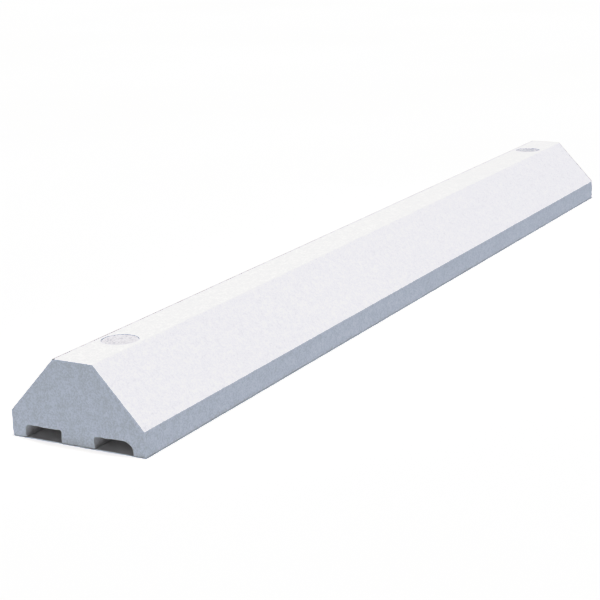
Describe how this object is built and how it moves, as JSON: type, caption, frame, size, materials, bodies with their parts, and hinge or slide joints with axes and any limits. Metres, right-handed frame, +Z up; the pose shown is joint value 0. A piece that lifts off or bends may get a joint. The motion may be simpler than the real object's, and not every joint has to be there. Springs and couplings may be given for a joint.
{
  "type": "parking wheel stop",
  "caption": "Low moulded plastic wheel stop with a flat top, sloped faces, drainage channels underneath and capped anchor holes.",
  "frame": {"origin": "centre of the footprint, on the ground", "axes": "+X along the bar, from the near end to the far end, +Y across it towards its back, +Z up"},
  "size_m": [1.2192, 0.1524, 0.0825],
  "materials": {
    "bar_plastic": "satin",
    "cap_plastic": "satin"
  },
  "bodies": {
    "bar": {"stop_bar": "bar_plastic"},
    "near_cap": {"near_hole_cap": "cap_plastic"},
    "far_cap": {"far_hole_cap": "cap_plastic"}
  },
  "joints": [
    {"name": "near_cap_lift", "type": "slide", "parent": "bar", "child": "near_cap", "axis": [0, 0, 1], "range_m": [0, 0.02]},
    {"name": "far_cap_lift", "type": "slide", "parent": "bar", "child": "far_cap", "axis": [0, 0, 1], "range_m": [0, 0.02]}
  ]
}
